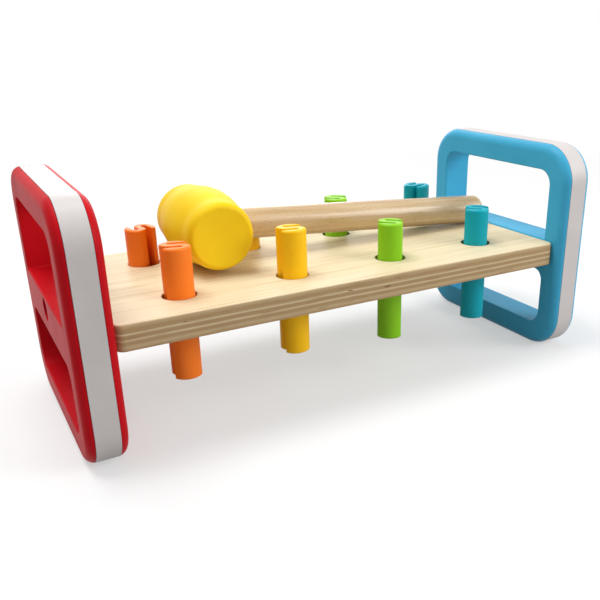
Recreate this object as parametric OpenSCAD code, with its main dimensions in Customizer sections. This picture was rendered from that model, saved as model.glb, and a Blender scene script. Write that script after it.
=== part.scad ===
// Peg pounding bench: a plywood board on two moulded end frames, with eight spring pegs standing in
// its holes and a mallet lying on it between the two rows.
// Millimetres, +Z up. X runs along the board with the red end at -X, and the front row is at -Y.
// The origin is on the floor, under the middle of the board.

/* [Board] */
// Length of the board between the end frames
board_l = 240; // [230:1:300]
// Distance of the board's long edges inside the end frames' edges
board_inset = 5; // [3:0.5:9]
// Thickness of the plywood
board_t = 12; // [10:0.5:15]
// Radius of the board's four corners
board_corner = 4; // [2:0.5:8]
// Radius that the sanded edges are eased to
board_arris = 0.8; // [0.3:0.1:1.5]
// Radius that the edges of the peg holes are eased to
hole_ease = 0.5; // [0.2:0.1:1]
// Spacing of the peg holes along the board
hole_pitch = 56.5; // [50:0.5:60]
// Spacing of the two rows of holes
row_gap = 58; // [56:1:66]

/* [End frames] */
// Width of an end frame, across the bench
frame_w = 118; // [116:1:130]
// Height of an end frame
frame_h = 116; // [112:1:130]
// Radius of the frame's outer corners
frame_corner = 20; // [14:1:26]
// Width of the white band between the two shells
band_w = 11; // [8:0.5:16]
// Thickness of the white band
band_t = 2.4; // [1.8:0.1:3]
// Depth of a shell's coloured edge, from its face to the band
rim_h = 3.6; // [3:0.1:4.5]
// Radius of the rounding round a shell's face
rim_round = 4.6; // [3:0.1:6]
// Wall thickness of the mouldings
shell_wall = 2.4; // [1.8:0.1:3]
// Depth of the shell's lip under the band
lip_h = 3; // [2:0.5:4]
// Width of the shadow line between a shell and the band
seam = 0.2; // [0.1:0.05:0.4]

/* [Windows] */
// Width of the posts beside the windows
post_w = 13; // [10:0.5:17]
// Height of the bar over the upper window, which is also the carry handle
top_bar = 13.8; // [11:0.2:18]
// Height of the bar under the lower window
foot_bar = 13.8; // [11:0.2:18]
// Height of the crossbar that carries the board
cross_h = 18.4; // [16:0.2:24]
// Height of the upper window's sill over the top of the board
sill_up = 0.5; // [0:0.1:2]
// Radius of the windows' corners at the top and foot bars
window_corner = 8; // [4:0.5:12]
// Radius of the lower window's corners under the crossbar
under_corner = 6; // [3:0.5:10]
// Radius of the sill's corners
sill_corner = 1.5; // [1:0.5:4]
// Radius that the windows' edges are eased to
window_ease = 0.8; // [0.4:0.1:1.2]

/* [Fixings] */
// Diameter of the recess that the screw lies in
recess_d = 11; // [10:0.5:12]
// Depth of the recess
recess_h = 6; // [5:0.5:6.5]
// Diameter of the screw's head
screw_head_d = 8.6; // [7:0.2:9]
// Height of the screw's head
screw_head_h = 2.6; // [2:0.2:3]
// Diameter of the screw's shank
screw_d = 4; // [3:0.2:5]
// Length of the screw under its head
screw_l = 40; // [30:1:45]
// Length of the screw's point
screw_point_l = 5; // [3:0.5:8]
// Width of the slots of the screw's cross recess
drive_w = 1.1; // [0.8:0.1:1.4]
// Span of the screw's cross recess
drive_l = 4.6; // [3.5:0.1:6]
// Depth of the screw's cross recess
drive_h = 1.6; // [1:0.1:1.8]
// Diameter of the pins that locate the board
pin_d = 6; // [4:0.5:7]
// Length of the pins that locate the board
pin_l = 8; // [5:0.5:12]
// Spacing of the two pins at each end
pin_gap = 76; // [60:1:84]

/* [Pegs] */
// Diameter of a peg over its outer strokes
peg_d = 15.3; // [15:0.1:16.5]
// Width of a peg along its strokes
peg_w = 13.6; // [13.4:0.1:14.6]
// Length of a peg
peg_l = 62.5; // [58:0.5:63]
// Width of the two slots in a peg
slot_w = 2.4; // [2:0.1:3]
// How far a free tip reaches past the middle of a peg
tip_reach = 5.7; // [4.5:0.1:6]
// Radius of the rounding round a peg's ends
peg_round = 1.2; // [0.6:0.1:1.6]
// Radius that the slots' edges are eased to
slot_ease = 0.5; // [0.2:0.1:0.8]
// Height over the board of the front pegs, from orange to teal
front_up = [23.1, 23.4, 19.1, 19.5]; // [0:0.1:50]
// Height over the board of the back pegs, from orange to teal
back_up = [18.6, 19, 21.3, 22.8]; // [0:0.1:50]
// Turn of the front pegs in their holes, in degrees
front_turn = [-14, -14, -42, -48]; // [-180:1:180]
// Turn of the back pegs in their holes, in degrees
back_turn = [100, 0, -36, 15]; // [-180:1:180]

/* [Mallet head] */
// Length of the head from face to face
head_l = 56.5; // [50:0.5:60]
// Diameter of the head's belly
head_d = 38.6; // [37:0.2:42]
// Radius of the belly's curve along the head
belly_curve = 52; // [50:1:90]
// Diameter of the head over the rims of its faces
head_rim_d = 34.2; // [33:0.1:37]
// Radius of the rim's curve
head_rim_curve = 6; // [5.6:0.1:7]
// Distance from a face to the widest point of its rim
head_rim_set = 5.4; // [5:0.1:5.5]
// Radius of the hollow curve between the belly and a rim
neck_curve = 1.5; // [1:0.5:20]
// Radius of the blend between a rim and its face
face_blend = 2; // [1:0.1:3]
// Depth of the shallow dish in each face
face_dish = 0.6; // [0.3:0.1:1]

/* [Mallet handle] */
// Diameter of the handle
handle_d = 16.3; // [14:0.1:17]
// Reach of the handle from the middle of the head
handle_reach = 174; // [150:1:180]
// Depth of the handle's socket past the middle of the head
socket_past = 9; // [5:0.5:12]
// Radius of the rounding at the handle's free end
handle_round = 4.5; // [2:0.5:7]
// Radius that the handle's seated end is eased to
handle_arris = 1; // [0.5:0.1:2]
// Distance of the head from the middle of the board, towards the red end
mallet_x = 57; // [55:0.5:60]
// Distance of the head from the middle of the board, towards the back
mallet_y = 12.5; // [12:0.1:13]
// Turn of the handle towards the front, in degrees
mallet_turn = 1.2; // [0.8:0.1:1.6]

/* [Fits] */
// Gap between a peg's outer strokes and its hole, on the radius
peg_fit = 0.2; // [0.1:0.05:0.4]
// Gap round a locating pin, on the radius
pin_fit = 0.1; // [0.05:0.05:0.2]
// Gap round the screw's shank in the mouldings, on the radius
screw_fit = 0.3; // [0.2:0.05:0.5]
// Gap round the screw in the board's pilot hole, on the radius
pilot_fit = 0.05; // [0.02:0.01:0.1]
// Gap round the handle in the head's socket, on the radius
socket_fit = 0.05; // [0.02:0.01:0.1]
// Gap under the mallet where it lies on the board
rest_fit = 0.1; // [0.05:0.05:0.3]

/* [Hidden] */
$fn = 96;
// How far a cutter runs past the surface that it cuts
over = 1;

// Thickness of a whole end frame and of one shell, down to where the two shells meet
frame_t = 2 * rim_h + band_w;
half_t = frame_t / 2;
// Heights of the board's middle, which is the frame's middle too, and of its top
mid_z = frame_h / 2;
top_z = mid_z + board_t / 2;
// Heights of the windows' edges
sill_z = top_z + sill_up;
under_z = sill_z - cross_h;
// Widths of the board and of both windows in an end frame
board_w = frame_w - 2 * board_inset;
window_w = frame_w - 2 * post_w;
// Middle of an end frame along X
frame_x = board_l / 2 + half_t;
// Plan of the peg holes: four along the board and two across it
column_x = [for (i = [0 : 3]) (i - 3 / 2) * hole_pitch];
hole_d = peg_d + 2 * peg_fit;
// Strokes and slots of a peg's section
stroke_t = (peg_d - 2 * slot_w) / 3;
stroke_pitch = stroke_t + slot_w;
turn_x = (peg_w - stroke_pitch - stroke_t) / 2;
// Bosses for the screw
boss_d = recess_d + 2 * shell_wall;
shank_boss_d = screw_d + 2 * screw_fit + 2 * shell_wall;
// Seat of the screw's head, measured from where the shells meet
seat_z = half_t - recess_h;
// Head of the mallet: middles of the profile's arcs, as [along the head, off its axis]
belly_c = [0, head_d / 2 - belly_curve];
rim_c = [head_l / 2 - head_rim_set, head_rim_d / 2 - head_rim_curve];
neck_c = outer_meet(belly_c, belly_curve + neck_curve, rim_c, head_rim_curve + neck_curve);
blend_run = head_l / 2 - face_blend - rim_c[0];
blend_c = rim_c + [blend_run, sqrt((head_rim_curve - face_blend) ^ 2 - blend_run ^ 2)];
// Points where one arc of the profile runs into the next
belly_end = toward(belly_c, neck_c, belly_curve);
neck_end = toward(rim_c, neck_c, head_rim_curve);
rim_end = toward(rim_c, blend_c, head_rim_curve);
// Radius of the sphere that dishes a face
dish_r = (blend_c[1] ^ 2 + face_dish ^ 2) / (2 * face_dish);
// Height of the head's axis and slope of the handle, whose free end comes down to the board
head_z = top_z + rest_fit + head_d / 2;
handle_slope = asin((head_d - handle_d) / 2 / (handle_reach - handle_round));

// Point at a distance from one point on the way to another
function toward(from, to, distance) = from + (to - from) * distance / norm(to - from);

// Upper meeting point of two circles, given by their middles and radii
function outer_meet(a, ra, b, rb) =
    let (d = norm(b - a), run = (d ^ 2 + ra ^ 2 - rb ^ 2) / (2 * d), along = (b - a) / d)
    a + along * run + [-along[1], along[0]] * sqrt(ra ^ 2 - run ^ 2);

// Flat outline: a rectangle standing on y = 0, with its own radius at the low and the high corners
module rounded_outline(w, h, low_r, high_r) {
    translate([-w / 2, low_r]) square([w, h - low_r - high_r]);
    translate([-w / 2 + low_r, 0]) square([w - 2 * low_r, h / 2]);
    translate([-w / 2 + high_r, h / 2]) square([w - 2 * high_r, h / 2]);
    for (side = [-1, 1]) {
        translate([side * (w / 2 - low_r), low_r]) circle(low_r);
        translate([side * (w / 2 - high_r), h - high_r]) circle(high_r);
    }
}

// Sweeps a flat profile round that outline: its x runs outward from the outline and its y is height
module round_the_outline(w, h, low_r, high_r) {
    for (side = [0, 1]) mirror([side, 0, 0]) {
        translate([w / 2 - high_r, h - high_r, 0])
            rotate_extrude(angle = 90) translate([high_r, 0]) children();
        translate([w / 2 - low_r, low_r, 0]) rotate(-90)
            rotate_extrude(angle = 90) translate([low_r, 0]) children();
        translate([w / 2, h - high_r, 0]) rotate([90, 0, 0])
            linear_extrude(h - low_r - high_r) children();
    }
    translate([high_r - w / 2, h, 0]) rotate([90, 0, 90])
        linear_extrude(w - 2 * high_r) children();
    mirror([0, 1, 0]) translate([low_r - w / 2, 0, 0]) rotate([90, 0, 90])
        linear_extrude(w - 2 * low_r) children();
}

// Profile of the waste outside a rounding of radius r on an outer edge at [0, z]
module edge_waste(r, z) {
    translate([0, z]) difference() {
        translate([-r, -r]) square(r + over);
        translate([-r, -r]) circle(r);
    }
}

// Profile of the waste outside a rounding of radius r on an opening's edge at [0, z]
module opening_waste(r, z) {
    translate([0, z]) difference() {
        translate([-over, -r]) square([r + over, r + over]);
        translate([r, -r]) circle(r);
    }
}

// Flat bar w by h round the middle, with its four corners rounded
module rounded_bar(w, h, r) {
    translate([0, -h / 2]) rounded_outline(w, h, r, r);
}

// Right-hand half of a flat shape, for revolving
module right_half(reach) {
    intersection() {
        children();
        translate([0, -reach]) square([reach, 2 * reach]);
    }
}

module board() {
    color("wheat") difference() {
        translate([0, 0, mid_z]) difference() {
            linear_extrude(board_t, center = true) rounded_bar(board_l, board_w, board_corner);
            for (side = [0, 1]) mirror([0, 0, side]) translate([0, -board_w / 2, 0])
                round_the_outline(board_l, board_w, board_corner, board_corner)
                    edge_waste(board_arris, board_t / 2);
        }
        for (x = column_x, side = [-1, 1]) translate([x, side * row_gap / 2, mid_z]) {
            cylinder(board_t + 2 * over, d = hole_d, center = true);
            for (face = [0, 1]) mirror([0, 0, face])
                rotate_extrude() translate([hole_d / 2, 0]) opening_waste(hole_ease, board_t / 2);
        }
        for (end = [0, 1]) mirror([end, 0, 0]) translate([board_l / 2, 0, mid_z]) rotate([0, -90, 0]) {
            for (side = [-1, 1]) translate([0, side * pin_gap / 2, -over])
                cylinder(over + pin_l + pin_fit, d = pin_d + 2 * pin_fit);
            translate([0, 0, -over])
                cylinder(over + screw_l - seat_z - half_t + pilot_fit, d = screw_d + 2 * pilot_fit);
        }
    }
}

// The two windows, as flat outlines on the frame's foot line
module lower_window(grow = 0) {
    translate([0, foot_bar - grow])
        rounded_outline(window_w + 2 * grow, under_z - foot_bar + 2 * grow,
                        window_corner + grow, under_corner + grow);
}

module upper_window(grow = 0) {
    translate([0, sill_z - grow])
        rounded_outline(window_w + 2 * grow, frame_h - top_bar - sill_z + 2 * grow,
                        sill_corner + grow, window_corner + grow);
}

// Outline of the end frame, drawn in by a margin
module frame_outline(margin = 0) {
    translate([0, margin])
        rounded_outline(frame_w - 2 * margin, frame_h - 2 * margin,
                        frame_corner - margin, frame_corner - margin);
}

// One moulded shell, lying with its face up: z = 0 is where the two shells of a frame meet
module shell() {
    difference() {
        union() {
            translate([0, 0, band_w / 2]) linear_extrude(rim_h) frame_outline();
            translate([0, 0, band_w / 2 - lip_h]) linear_extrude(lip_h + rim_h / 2) frame_outline(band_t);
            linear_extrude(half_t - shell_wall / 2) {
                lower_window(shell_wall);
                upper_window(shell_wall);
            }
        }
        round_the_outline(frame_w, frame_h, frame_corner, frame_corner) edge_waste(rim_round, half_t);
        translate([0, 0, -over]) linear_extrude(over + half_t - shell_wall) difference() {
            frame_outline(band_t + shell_wall);
            lower_window(shell_wall);
            upper_window(shell_wall);
        }
    }
}

// What is cut through a shell: the windows, with their edges eased
module window_cuts() {
    translate([0, 0, -over]) linear_extrude(half_t + 2 * over) {
        lower_window();
        upper_window();
    }
    translate([0, foot_bar, 0])
        round_the_outline(window_w, under_z - foot_bar, window_corner, under_corner)
            opening_waste(window_ease, half_t);
    translate([0, sill_z, 0])
        round_the_outline(window_w, frame_h - top_bar - sill_z, sill_corner, window_corner)
            opening_waste(window_ease, half_t);
}

// Outer shell: it has the recess and the boss for the screw
module outer_shell() {
    difference() {
        union() {
            shell();
            translate([0, mid_z, 0]) cylinder(half_t - shell_wall / 2, d = boss_d);
        }
        window_cuts();
        translate([0, mid_z, seat_z]) cylinder(recess_h + over, d = recess_d);
        translate([0, mid_z, -over]) cylinder(half_t, d = screw_d + 2 * screw_fit);
    }
}

// Inner shell: it has the screw's second boss and the pins that locate the board
module inner_shell() {
    difference() {
        union() {
            shell();
            translate([0, mid_z, 0]) cylinder(half_t - shell_wall / 2, d = shank_boss_d);
            for (side = [-1, 1]) translate([side * pin_gap / 2, mid_z, 0])
                cylinder(half_t + pin_l, d = pin_d);
        }
        window_cuts();
        translate([0, mid_z, -over]) cylinder(half_t + 2 * over, d = screw_d + 2 * screw_fit);
    }
}

// White band that closes the edge between the two shells
module rim_band() {
    linear_extrude(band_w - 2 * seam, center = true) difference() {
        frame_outline();
        frame_outline(band_t);
    }
}

// Screw with its head's seat on z = 0 and its shank pointing down
module frame_screw() {
    difference() {
        cylinder(screw_head_h, d = screw_head_d);
        for (turn = [0, 90]) rotate(turn) translate([0, 0, screw_head_h])
            cube([drive_l, drive_w, 2 * drive_h], center = true);
    }
    translate([0, 0, screw_point_l - screw_l]) cylinder(screw_l - screw_point_l, d = screw_d);
    translate([0, 0, -screw_l]) cylinder(screw_point_l, 0, screw_d / 2);
}

// Puts a frame's piece at the blue end: its width runs along Y, its foot is on the floor
module at_blue_end() {
    translate([frame_x, 0, 0]) rotate([90, 0, 90]) children();
}

module at_red_end() {
    mirror([1, 0, 0]) at_blue_end() children();
}

module red_outer_shell() {
    color("crimson") at_red_end() outer_shell();
}

module red_inner_shell() {
    color("crimson") at_red_end() mirror([0, 0, 1]) inner_shell();
}

module red_rim_band() {
    color("white") at_red_end() rim_band();
}

module red_frame_screw() {
    color("silver") at_red_end() translate([0, mid_z, seat_z]) frame_screw();
}

module blue_outer_shell() {
    color("deepskyblue") at_blue_end() outer_shell();
}

module blue_inner_shell() {
    color("deepskyblue") at_blue_end() mirror([0, 0, 1]) inner_shell();
}

module blue_rim_band() {
    color("white") at_blue_end() rim_band();
}

module blue_frame_screw() {
    color("silver") at_blue_end() translate([0, mid_z, seat_z]) frame_screw();
}

// Upright stroke of a peg: its flat section, with eased edges top and bottom
module stroke() {
    rounded_bar(stroke_t, peg_l, slot_ease);
}

// Straight stroke from x = a to x = b at the given y
module straight(a, b, y) {
    translate([a, y, 0]) rotate([90, 0, 90]) linear_extrude(b - a) stroke();
}

// Half of the S: the turn on the left and the stroke that ends in a free tip on the right
module half_s() {
    translate([-turn_x, stroke_pitch / 2, 0]) rotate(90)
        rotate_extrude(angle = 180) translate([stroke_pitch / 2, 0]) stroke();
    straight(-turn_x, tip_reach - stroke_t / 2, stroke_pitch);
    translate([tip_reach - stroke_t / 2, stroke_pitch, 0])
        rotate_extrude() right_half(peg_l) stroke();
}

// Spring peg round the middle of its length: an S in section, trimmed to a round outside
module peg() {
    intersection() {
        union() {
            straight(-turn_x, turn_x, 0);
            half_s();
            rotate(180) half_s();
        }
        rotate_extrude() right_half(peg_l) rounded_bar(peg_d, peg_l, peg_round);
    }
}

// Peg of a column, in the front row (side -1) or the back row (side 1)
module placed_peg(column, side, up, turn) {
    translate([column_x[column], side * row_gap / 2, top_z + up - peg_l / 2]) rotate(turn) peg();
}

module front_orange_peg() {
    color("darkorange") placed_peg(0, -1, front_up[0], front_turn[0]);
}

module front_yellow_peg() {
    color("gold") placed_peg(1, -1, front_up[1], front_turn[1]);
}

module front_green_peg() {
    color("yellowgreen") placed_peg(2, -1, front_up[2], front_turn[2]);
}

module front_teal_peg() {
    color("lightseagreen") placed_peg(3, -1, front_up[3], front_turn[3]);
}

module back_orange_peg() {
    color("darkorange") placed_peg(0, 1, back_up[0], back_turn[0]);
}

module back_yellow_peg() {
    color("gold") placed_peg(1, 1, back_up[1], back_turn[1]);
}

module back_green_peg() {
    color("yellowgreen") placed_peg(2, 1, back_up[2], back_turn[2]);
}

module back_teal_peg() {
    color("lightseagreen") placed_peg(3, 1, back_up[3], back_turn[3]);
}

// Stretch of the head's half profile between two places along the head, out to a flat shape's edge
module stretch(a, b) {
    intersection() {
        children();
        translate([0, a]) square([head_d, b - a]);
    }
}

// One half of the head's profile: core, belly, hollow neck, full rim and the blend into the face
module head_profile() {
    square([blend_c[1], head_l / 2]);
    stretch(0, belly_end[0]) translate([belly_c[1], belly_c[0]]) circle(belly_curve, $fn = 360);
    difference() {
        polygon([[0, belly_end[0]], [belly_end[1], belly_end[0]], [neck_end[1], neck_end[0]], [0, neck_end[0]]]);
        translate([neck_c[1], neck_c[0]]) circle(neck_curve);
    }
    stretch(neck_end[0], rim_end[0]) translate([rim_c[1], rim_c[0]]) circle(head_rim_curve);
    stretch(rim_end[0], head_l / 2) translate([blend_c[1], blend_c[0]]) circle(face_blend);
}

// Lays the mallet on the board: its head's axis along Y, its handle along +X and down to the board
module lay_mallet() {
    translate([-mallet_x, mallet_y, head_z]) rotate([0, handle_slope, -mallet_turn]) children();
}

module mallet_head() {
    color("yellow") lay_mallet() difference() {
        rotate([90, 0, 0]) for (side = [0, 1]) mirror([0, 0, side]) rotate_extrude() difference() {
            head_profile();
            translate([0, head_l / 2 - face_dish + dish_r]) circle(dish_r, $fn = 720);
        }
        rotate([0, 90, 0]) translate([0, 0, -socket_past - socket_fit])
            cylinder(socket_past + head_d, d = handle_d + 2 * socket_fit);
    }
}

module mallet_handle() {
    color("burlywood") lay_mallet() rotate([0, 90, 0]) rotate_extrude() right_half(handle_reach)
        translate([0, -socket_past])
            rounded_outline(handle_d, socket_past + handle_reach, handle_arris, handle_round);
}

board();
red_outer_shell();
red_inner_shell();
red_rim_band();
red_frame_screw();
blue_outer_shell();
blue_inner_shell();
blue_rim_band();
blue_frame_screw();
front_orange_peg();
front_yellow_peg();
front_green_peg();
front_teal_peg();
back_orange_peg();
back_yellow_peg();
back_green_peg();
back_teal_peg();
mallet_head();
mallet_handle();
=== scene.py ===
"""Looks of the peg pounding bench: materials, the mallet's softer head, floor, light and camera.

Everything is in metres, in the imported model's own frame: X along the board, the front row of pegs
at -Y, and the floor at z = 0.
"""

import math

import bmesh
import bpy
from mathutils import Matrix, Vector
from mathutils.geometry import interpolate_bezier


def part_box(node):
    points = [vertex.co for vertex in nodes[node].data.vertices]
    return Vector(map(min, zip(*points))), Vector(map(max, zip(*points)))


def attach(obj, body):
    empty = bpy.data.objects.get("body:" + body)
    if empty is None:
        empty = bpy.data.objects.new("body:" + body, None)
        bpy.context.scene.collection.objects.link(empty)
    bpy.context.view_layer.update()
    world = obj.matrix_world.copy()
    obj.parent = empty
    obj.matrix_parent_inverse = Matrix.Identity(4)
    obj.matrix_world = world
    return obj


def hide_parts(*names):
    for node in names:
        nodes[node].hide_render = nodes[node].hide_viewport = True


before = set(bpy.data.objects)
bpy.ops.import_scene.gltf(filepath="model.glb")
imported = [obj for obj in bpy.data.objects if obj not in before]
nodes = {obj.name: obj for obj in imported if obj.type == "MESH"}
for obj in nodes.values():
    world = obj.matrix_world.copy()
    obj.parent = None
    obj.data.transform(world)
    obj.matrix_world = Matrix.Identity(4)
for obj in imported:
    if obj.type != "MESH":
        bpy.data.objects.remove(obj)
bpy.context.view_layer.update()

MM = 0.001

# Camera, fitted to the photograph: where it stands, how it is turned, and its focal length and
# principal point in pixels of a 600 by 600 image
IMAGE = 600
CAMERA_PLACE = Vector((-174.14, -337.89, 172.44)) * MM
CAMERA_YAW = math.radians(29.94)
CAMERA_PITCH = math.radians(-22.04)
CAMERA_ROLL = math.radians(-0.50)
FOCAL_PX = 732.98
PRINCIPAL_PX = (350, 330)
SENSOR_MM = 36

# Lamps: place, the point that each faces, width in metres and power in watts
LAMPS = {
    "key": ((-0.25, 0.15, 1.0), (0, 0, 0.05), 0.5, 6.8),
    "front_fill": ((0.75, -0.7, 0.5), (0, 0, 0.06), 0.6, 7.0),
    "back": ((0.35, 1.2, 0.6), (0, 0, 0.08), 0.8, 4.0),
}
WORLD_LIGHT = 0.46

# Floor: half its width, the share of plain white in it under the object, and the distances
# between which that share grows to the whole
FLOOR_HALF = 6.0
FLOOR_WHITE = 0.45
FADE_FROM = 0.3
FADE_TO = 0.9

# The mallet as it lies: its head's middle, the handle's fall and its turn towards the front
HEAD_PLACE = Vector((-57, 12.5, 83.4)) * MM
MALLET_SLOPE = math.radians(3.77)
MALLET_TURN = math.radians(1.2)
# The handle's socket in the head: its width, its depth past the head's middle, and the length of
# the tool that cuts it, which comes out of the head's side
SOCKET_DIAMETER = (16.3 + 0.1) * MM
SOCKET_DEPTH = 9.05 * MM
SOCKET_REACH = 40 * MM
# Half of the head's outline in mm, from its middle to the middle of a face: along it, and radius
HEAD_OUTLINE = [(0, 19.28), (6, 18.9), (11, 18.25), (14.5, 17.55), (17.5, 16.95), (20, 16.7),
                (22.5, 16.7), (24.8, 16.6), (26.5, 16.1), (27.6, 15.25), (28.1, 14.4), (28.2, 13.5),
                (28.0, 11.0), (27.8, 7.5), (27.68, 3.5), (27.65, 0)]
# Points on the curve between two of them, steps in a full turn, the distance under which points
# become one, and the angle from which an edge is crisp
CURVE_STEPS = 6
ROUND_STEPS = 96
WELD = 0.01 * MM
CRISP = math.radians(40)

# Tones of the board's cut edge, from its underside to its top: the share of the height, and colour
PLY_TONES = [(0.0, "#C2A780"), (0.07, "#B79871"), (0.17, "#CAB48E"), (0.28, "#AF926B"),
             (0.345, "#B1946C"), (0.415, "#E0CBA6"), (0.47, "#B0936C"), (0.575, "#AF926A"),
             (0.635, "#E1CEA9"), (0.70, "#B59971"), (0.80, "#B1936A"), (0.865, "#C1A67E"),
             (1.0, "#CFB790")]

# Colour of each pair of pegs, and the slightly deeper tone of its clouding
PEG_COLOURS = {
    "orange": ("#FF8222", "#FE7A1A"),
    "yellow": ("#FFC80A", "#FFBE06"),
    "green": ("#90D21C", "#84C716"),
    "teal": ("#02AABC", "#01A0B2"),
}


def linear(colour):
    """A colour written as #RRGGBB, as the linear RGBA that Blender's sockets take."""
    parts = [int(colour[i:i + 2], 16) / 255 for i in (1, 3, 5)]
    return [p / 12.92 if p <= 0.04045 else ((p + 0.055) / 1.055) ** 2.4 for p in parts] + [1]


class Nodes:
    """The nodes of one material or world. Each call adds to them and returns what it made."""

    def __init__(self, owner):
        """Starts with no nodes. owner is the new material or world."""
        self.owner = owner
        owner.use_nodes = True
        self.tree = owner.node_tree
        self.tree.nodes.clear()

    def add(self, kind, sockets=None, **settings):
        """Adds a node. sockets gives its inputs: a value to set, or another's output to link."""
        made = self.tree.nodes.new("ShaderNode" + kind)
        for name, value in settings.items():
            setattr(made, name, value)
        for key, value in (sockets or {}).items():
            if isinstance(value, bpy.types.NodeSocket):
                self.tree.links.new(value, made.inputs[key])
            else:
                made.inputs[key].default_value = value
        return made

    def place(self, scale, turn=(0, 0, 0), shift=(0, 0, 0), where=None):
        """Place on the object, turned and scaled for a texture. Scales are features a metre.

        where is an output to use in place of the object's own coordinates.
        """
        if where is None:
            where = self.add("TexCoord").outputs["Object"]
        return self.add("Mapping", {"Vector": where, "Scale": scale, "Rotation": turn,
                                    "Location": shift}).outputs["Vector"]

    def noise(self, vector, detail, roughness=0.5, distortion=0.0):
        """Noise from 0 to 1, with one feature a unit of the vector."""
        sockets = {"Vector": vector, "Scale": 1.0, "Detail": detail, "Roughness": roughness,
                   "Distortion": distortion}
        return self.add("TexNoise", sockets).outputs["Fac"]

    def remap(self, value, low, high, to_low=0.0, to_high=1.0):
        """Maps a value from one range to another, and keeps it in the second."""
        sockets = {0: value, 1: low, 2: high, 3: to_low, 4: to_high}
        return self.add("MapRange", sockets).outputs[0]

    def math(self, operation, a, b=0.0):
        """One sum."""
        return self.add("Math", {0: a, 1: b}, operation=operation).outputs[0]

    def mix(self, factor, a, b):
        """Mixes two colours."""
        return self.add("Mix", {0: factor, 6: a, 7: b}, data_type="RGBA").outputs[2]

    def ramp(self, value, stops):
        """Colour ramp. stops is a list of (place, colour)."""
        made = self.add("ValToRGB", {0: value})
        marks = made.color_ramp.elements
        while len(marks) < len(stops):
            marks.new(0.5)
        for mark, (at, colour) in zip(marks, stops):
            mark.position = at
            mark.color = linear(colour)
        return made.outputs[0]

    def bump(self, height, depth, normal=None):
        """Bump from a height of 0 to 1, with its depth in metres."""
        sockets = {"Height": height, "Strength": 1.0, "Distance": depth}
        if normal is not None:
            sockets["Normal"] = normal
        return self.add("Bump", sockets).outputs["Normal"]

    def seen(self):
        """1 for what the camera sees, also in gloss and through clear things, and 0 for light."""
        path = self.add("LightPath").outputs
        indirect = self.math("MAXIMUM", path["Is Glossy Ray"], path["Is Transmission Ray"])
        return self.math("MAXIMUM", path["Is Camera Ray"], indirect)

    def close(self, kind, shader):
        """Links the last shader to an output node, and returns the material or world."""
        out = self.add(kind)
        self.tree.links.new(shader.outputs[0], out.inputs[0])
        return self.owner

    def finish(self, sockets):
        """Closes the material with a Principled surface."""
        return self.close("OutputMaterial", self.add("BsdfPrincipled", sockets))


def moulded(name, colour, deep, roughness, gloss=0.3, soft=0.0, grain=0.012 * MM):
    """Moulded plastic: an even colour with faint flow clouding, a fine matt grain and light scuffs.

    deep is the slightly deeper tone of the clouding, gloss the specular level, soft the share of
    light that goes into the plastic, and grain the depth of the mould's texture.
    """
    m = Nodes(bpy.data.materials.new(name))
    clouds = m.noise(m.place((35, 35, 35)), detail=3)
    tone = m.mix(m.remap(clouds, 0.35, 0.7), linear(colour), linear(deep))
    fine = m.noise(m.place((2600, 2600, 2600)), detail=2)
    scuffs = m.noise(m.place((120, 900, 300), turn=(0.3, 0.5, 0.8)), detail=4, roughness=0.65)
    rough = m.math("ADD", m.remap(clouds, 0.3, 0.7, roughness - 0.02, roughness + 0.03),
                   m.remap(scuffs, 0.55, 0.8, 0.0, 0.08))
    ripple = m.noise(m.place((60, 60, 60)), detail=1)
    normal = m.bump(ripple, depth=0.04 * MM, normal=m.bump(fine, depth=grain))
    return m.finish({"Base Color": tone, "Roughness": rough, "Normal": normal,
                     "Specular IOR Level": gloss,
                     "Subsurface Weight": soft, "Subsurface Radius": (1.0, 0.5, 0.25),
                     "Subsurface Scale": 2 * MM})


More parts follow.
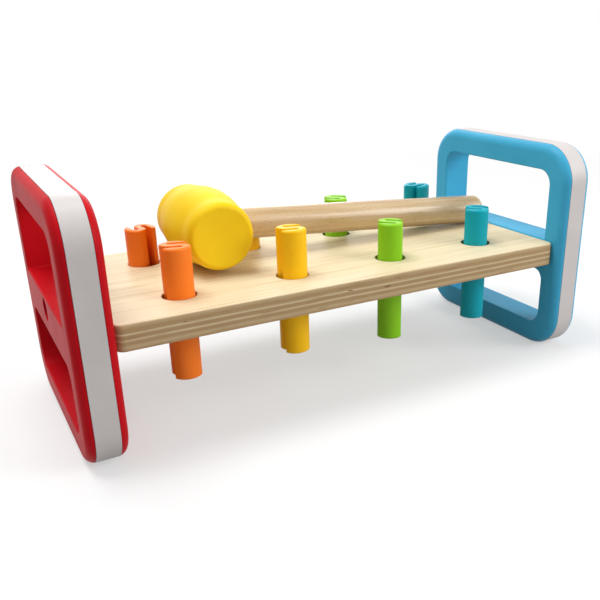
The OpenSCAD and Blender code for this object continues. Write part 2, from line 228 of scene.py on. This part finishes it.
def plywood(board):
    """Birch plywood: a pale veneer on the faces, and nine plies to see on every cut edge."""
    m = Nodes(bpy.data.materials.new("plywood"))
    low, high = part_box(board)
    where = m.add("SeparateXYZ", {0: m.add("TexCoord").outputs["Object"]})
    facing = m.add("SeparateXYZ", {0: m.add("TexCoord").outputs["Normal"]})

    # Veneer: long soft streaks along X, fine pores and a slow drift of tone
    drift = m.noise(m.place((9, 30, 9)), detail=2)
    streaks = m.noise(m.place((14, 420, 60)), detail=5, roughness=0.62, distortion=0.3)
    pores = m.noise(m.place((160, 2600, 300), shift=(5, 3, 0)), detail=3, roughness=0.7)
    veneer = m.ramp(streaks, [(0.3, "#CDB98F"), (0.45, "#E2D2AE"), (0.7, "#ECDFC0")])
    veneer = m.mix(m.remap(drift, 0.35, 0.7, 0.0, 0.35), veneer, linear("#E2D0A8"))
    veneer = m.mix(m.remap(pores, 0.58, 0.8, 0.0, 0.35), veneer, linear("#C6B186"))

    # Plies: cross plies and long plies take turns, and wander a little in thickness
    wander = m.noise(m.place((18, 18, 9)), detail=2)
    level = m.math("ADD", m.remap(where.outputs[2], low[2], high[2]),
                   m.remap(wander, 0.3, 0.7, -0.016, 0.016))
    plies = m.ramp(level, PLY_TONES)
    fibres = m.noise(m.place((70, 300, 2200)), detail=4, roughness=0.6)
    plies = m.mix(m.remap(fibres, 0.3, 0.75, 0.0, 0.45), plies, linear("#9C7B4E"))
    blotches = m.noise(m.place((55, 55, 420), shift=(1.7, 0, 0.4)), detail=3)
    plies = m.mix(m.remap(blotches, 0.56, 0.72, 0.0, 0.5), plies, linear("#94744A"))
    flaws = m.noise(m.place((110, 110, 620), shift=(4.4, 2.0, 1.3)), detail=1)
    plies = m.mix(m.remap(flaws, 0.735, 0.77, 0.0, 0.8), plies, linear("#4E3820"))

    # The cut edge shows where the surface stands upright
    edge = m.remap(m.math("ABSOLUTE", facing.outputs[2]), 0.55, 0.9, 1.0, 0.0)
    tone = m.mix(edge, veneer, plies)
    height = m.math("ADD", m.math("MULTIPLY", streaks, 0.6), m.math("MULTIPLY", pores, 0.4))
    height = m.mix(edge, height, fibres)
    rough = m.math("ADD", m.remap(streaks, 0.3, 0.7, 0.5, 0.42), m.math("MULTIPLY", edge, 0.2))
    return m.finish({"Base Color": tone, "Roughness": rough,
                     "Normal": m.bump(height, depth=0.06 * MM),
                     "IOR": 1.45, "Specular IOR Level": 0.2})


def beech():
    """Lacquered beech along the handle: straight bands of tone, and short dark flecks."""
    m = Nodes(bpy.data.materials.new("beech"))
    sockets = {"Vector": m.add("TexCoord").outputs["Object"], "Center": (0, 0, 0),
               "Rotation": (0, -MALLET_SLOPE, MALLET_TURN)}
    along = m.add("VectorRotate", sockets, rotation_type="EULER_XYZ").outputs[0]
    bands = m.noise(m.place((6, 150, 150), where=along), detail=3, roughness=0.55, distortion=0.6)
    streaks = m.noise(m.place((22, 900, 900), where=along), detail=4, roughness=0.6)
    flecks = m.noise(m.place((420, 2600, 2600), shift=(3, 1, 2), where=along), detail=2,
                     roughness=0.6)
    tone = m.ramp(bands, [(0.3, "#B08E60"), (0.5, "#C8AB7E"), (0.7, "#DCC6A0")])
    tone = m.mix(m.remap(streaks, 0.35, 0.7, 0.0, 0.4), tone, linear("#B98F62"))
    tone = m.mix(m.remap(flecks, 0.6, 0.72, 0.0, 0.65), tone, linear("#8A5E34"))
    height = m.math("ADD", m.math("MULTIPLY", streaks, 0.7), m.math("MULTIPLY", flecks, 0.3))
    return m.finish({"Base Color": tone, "Roughness": m.remap(bands, 0.3, 0.7, 0.34, 0.42),
                     "Normal": m.bump(height, depth=0.05 * MM),
                     "IOR": 1.5, "Specular IOR Level": 0.3,
                     "Coat Weight": 1.0, "Coat Roughness": 0.24})


def zinc():
    """Bright zinc plating on the screws."""
    m = Nodes(bpy.data.materials.new("screw_zinc"))
    mottle = m.noise(m.place((900, 900, 900)), detail=3)
    tone = m.ramp(mottle, [(0.3, "#8E9092"), (0.7, "#B4B5B4")])
    return m.finish({"Base Color": tone, "Metallic": 1.0,
                     "Roughness": m.remap(mottle, 0.3, 0.7, 0.25, 0.4),
                     "Normal": m.bump(mottle, depth=0.01 * MM)})


def stage_white():
    """Pale matt floor that keeps shadows near the object and turns plain white further out.

    Light that bounces off it falls on a darker grey, so that it doesn't flood the object.
    """
    m = Nodes(bpy.data.materials.new("stage_white"))
    where = m.add("TexCoord").outputs["Object"]
    away = m.add("VectorMath", {0: where}, operation="LENGTH").outputs["Value"]
    grain = m.noise(m.place((900, 900, 900)), detail=2)
    paper = m.mix(m.remap(grain, 0.3, 0.7), linear("#F1F1F1"), linear("#F4F4F4"))
    bounce = m.add("LightPath").outputs["Is Diffuse Ray"]
    paper = m.add("BsdfDiffuse", {"Color": m.mix(bounce, paper, linear("#A4A4A4"))})
    shine = m.add("Emission", {"Color": linear("#FFFFFF"), "Strength": 1.0})
    fade = m.remap(away, FADE_FROM, FADE_TO, FLOOR_WHITE, 1.0)
    share = m.math("MULTIPLY", m.seen(), fade)
    both = m.add("MixShader", {0: share, 1: paper.outputs[0], 2: shine.outputs[0]})
    return m.close("OutputMaterial", both)


def smooth_outline(points, steps):
    """Points on a smooth curve that passes through all the given ones."""
    points = [Vector(point) for point in points]
    padded = [2 * points[0] - points[1]] + points + [2 * points[-1] - points[-2]]
    smooth = []
    for before, start, end, after in zip(padded, padded[1:], padded[2:], padded[3:]):
        leave = start + (end - before) / 6
        arrive = end - (after - start) / 6
        smooth += interpolate_bezier(start, leave, arrive, end, steps)[:-1]
    return smooth + [points[-1]]


def baked(name, mesh, cutter=None):
    """An object with its own finished mesh, from a bmesh and the one that is cut out of it."""
    made = bpy.data.objects.new(name, bpy.data.meshes.new(name))
    mesh.to_mesh(made.data)
    mesh.free()
    bpy.context.scene.collection.objects.link(made)
    if cutter:
        tool = baked(name + "_cutter", cutter)
        cut = made.modifiers.new("cut", "BOOLEAN")
        cut.operation = "DIFFERENCE"
        cut.solver = "EXACT"
        cut.object = tool
        evaluated = made.evaluated_get(bpy.context.evaluated_depsgraph_get())
        whole = bpy.data.meshes.new_from_object(evaluated)
        made.modifiers.clear()
        made.data = whole
        bpy.data.objects.remove(tool)
    return made


def barrel_mesh():
    """The head's body of revolution about Y, as a bmesh."""
    half = smooth_outline([(along * MM, radius * MM, 0) for along, radius in HEAD_OUTLINE],
                          CURVE_STEPS)
    outline = [Vector((-p.x, p.y, 0)) for p in reversed(half)] + half[1:]
    barrel = bmesh.new()
    chain = [barrel.verts.new((p.y, p.x, 0)) for p in outline]
    edges = [barrel.edges.new(pair) for pair in zip(chain, chain[1:])]
    bmesh.ops.spin(barrel, geom=chain + edges, cent=(0, 0, 0), axis=(0, 1, 0), angle=math.tau,
                   steps=ROUND_STEPS)
    bmesh.ops.remove_doubles(barrel, verts=barrel.verts, dist=WELD)
    bmesh.ops.recalc_face_normals(barrel, faces=barrel.faces)
    return barrel


def socket_mesh():
    """The handle's socket along X, as a bmesh."""
    socket = bmesh.new()
    middle = Matrix.Translation((SOCKET_REACH / 2 - SOCKET_DEPTH, 0, 0))
    bmesh.ops.create_cone(socket, cap_ends=True, segments=ROUND_STEPS,
                          radius1=SOCKET_DIAMETER / 2, radius2=SOCKET_DIAMETER / 2,
                          depth=SOCKET_REACH,
                          matrix=middle @ Matrix.Rotation(math.pi / 2, 4, "Y"))
    return socket


def soft_head(name, material):
    """The mallet's head: a barrel that runs softly into its two dished ends, with the socket."""
    made = baked(name, barrel_mesh(), socket_mesh())
    made.data.shade_smooth()
    made.data.set_sharp_from_angle(angle=CRISP)
    made.data.materials.append(material)
    made.matrix_world = (Matrix.Translation(HEAD_PLACE) @ Matrix.Rotation(-MALLET_TURN, 4, "Z")
                         @ Matrix.Rotation(MALLET_SLOPE, 4, "Y"))
    return made


def dress(node, material):
    """Gives a node of the model one material."""
    mesh = nodes[node].data
    mesh.materials.clear()
    mesh.materials.append(material)


def add_floor():
    """A wide flat floor under the object."""
    corners = [(x * FLOOR_HALF, y * FLOOR_HALF, 0) for x, y in ((-1, -1), (1, -1), (1, 1), (-1, 1))]
    mesh = bpy.data.meshes.new("floor")
    mesh.from_pydata(corners, [], [(0, 1, 2, 3)])
    mesh.materials.append(stage_white())
    floor = bpy.data.objects.new("floor", mesh)
    bpy.context.scene.collection.objects.link(floor)


def add_lamp(name, place, target, size, power):
    """Square area lamp that faces a point."""
    lamp = bpy.data.lights.new(name, "AREA")
    lamp.shape = "SQUARE"
    lamp.size = size
    lamp.energy = power
    made = bpy.data.objects.new(name, lamp)
    made.location = place
    made.rotation_euler = (Vector(target) - Vector(place)).to_track_quat("-Z", "Y").to_euler()
    bpy.context.scene.collection.objects.link(made)


def add_world():
    """Even pale surroundings, which the camera, every gloss and clear things see as plain white."""
    w = Nodes(bpy.data.worlds.new("surroundings"))
    light = w.add("Background", {"Color": linear("#FFFFFF"), "Strength": WORLD_LIGHT})
    plain = w.add("Background", {"Color": linear("#FFFFFF"), "Strength": 1.0})
    both = w.add("MixShader", {0: w.seen(), 1: light.outputs[0], 2: plain.outputs[0]})
    bpy.context.scene.world = w.close("OutputWorld", both)


def add_camera():
    """The camera at the photograph's viewing angle."""
    lens = bpy.data.cameras.new("camera")
    lens.sensor_fit = "HORIZONTAL"
    lens.sensor_width = SENSOR_MM
    lens.lens = FOCAL_PX * SENSOR_MM / IMAGE
    lens.shift_x = (IMAGE / 2 - PRINCIPAL_PX[0]) / IMAGE
    lens.shift_y = (PRINCIPAL_PX[1] - IMAGE / 2) / IMAGE
    lens.clip_start = 0.01
    lens.clip_end = 50
    ahead = Vector((math.sin(CAMERA_YAW) * math.cos(CAMERA_PITCH),
                    math.cos(CAMERA_YAW) * math.cos(CAMERA_PITCH), math.sin(CAMERA_PITCH)))
    level = Vector((math.cos(CAMERA_YAW), -math.sin(CAMERA_YAW), 0))
    above = level.cross(ahead)
    right = level * math.cos(CAMERA_ROLL) + above * math.sin(CAMERA_ROLL)
    upward = above * math.cos(CAMERA_ROLL) - level * math.sin(CAMERA_ROLL)
    turn = Matrix((right, upward, -ahead)).transposed().to_4x4()
    made = bpy.data.objects.new("camera", lens)
    made.matrix_world = Matrix.Translation(CAMERA_PLACE) @ turn
    bpy.context.scene.collection.objects.link(made)
    bpy.context.scene.camera = made


red = moulded("red_plastic", "#C8101C", "#BC0B18", 0.46, gloss=0.08, grain=0.008 * MM)
blue = moulded("blue_plastic", "#44B0D8", "#3CA8D0", 0.4, gloss=0.2, grain=0.008 * MM)
white = moulded("white_plastic", "#D0CAC8", "#C7C1BF", 0.42)
plating = zinc()
for end, plastic in (("red", red), ("blue", blue)):
    dress(end + "_outer_shell", plastic)
    dress(end + "_inner_shell", plastic)
    dress(end + "_rim_band", white)
    dress(end + "_frame_screw", plating)

for colour, (light, deep) in PEG_COLOURS.items():
    plastic = moulded("peg_" + colour, light, deep, 0.38, gloss=0.22, soft=0.03)
    for row in ("front_", "back_"):
        dress(row + colour + "_peg", plastic)

soft_yellow = moulded("head_yellow", "#F8D41C", "#F3CA14", 0.5, gloss=0.15, soft=0.15)
head = soft_head("mallet_barrel", soft_yellow)
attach(head, "mallet")
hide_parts("mallet_head")
dress("mallet_handle", beech())
dress("board", plywood("board"))

add_floor()
for lamp, settings in LAMPS.items():
    add_lamp(lamp, *settings)
add_world()
add_camera()
bpy.context.scene.view_settings.view_transform = "Standard"
